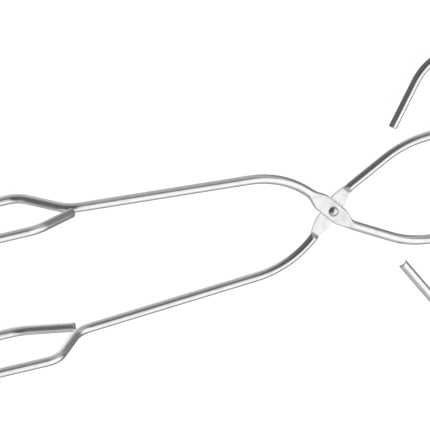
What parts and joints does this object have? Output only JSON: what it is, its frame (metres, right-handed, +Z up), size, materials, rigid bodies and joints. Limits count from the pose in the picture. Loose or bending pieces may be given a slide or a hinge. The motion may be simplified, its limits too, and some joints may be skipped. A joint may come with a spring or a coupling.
{
  "type": "scissor tongs",
  "caption": "Kitchen scissor tongs of bent round steel rod: crossed arms on one rivet, open wire loops for jaws and finger rings for handles.",
  "frame": {"origin": "on the surface that the tongs lie on, under the middle of their box", "axes": "+Z up; X along the tongs, with the jaws at -X and the finger rings at +X; Y across them. The rivet leans 4.5 degrees from Z towards +X, because the jaws are taller than the rings."},
  "size_m": [0.2932, 0.1404, 0.0449],
  "materials": {
    "polished_steel": "polished stainless steel rod, satin on the forged flats",
    "rivet_steel": "polished steel rivet head"
  },
  "bodies": {
    "back_half": {"back_arm": "polished_steel", "rivet": "rivet_steel"},
    "front_half": {"front_arm": "polished_steel"}
  },
  "joints": [
    {"name": "rivet_hinge", "type": "hinge", "parent": "back_half", "child": "front_half", "pos_m": [0.05462, 0, 0.00932], "axis": [0.0784, 0, 0.9969], "range_deg": [-40, 17]}
  ]
}
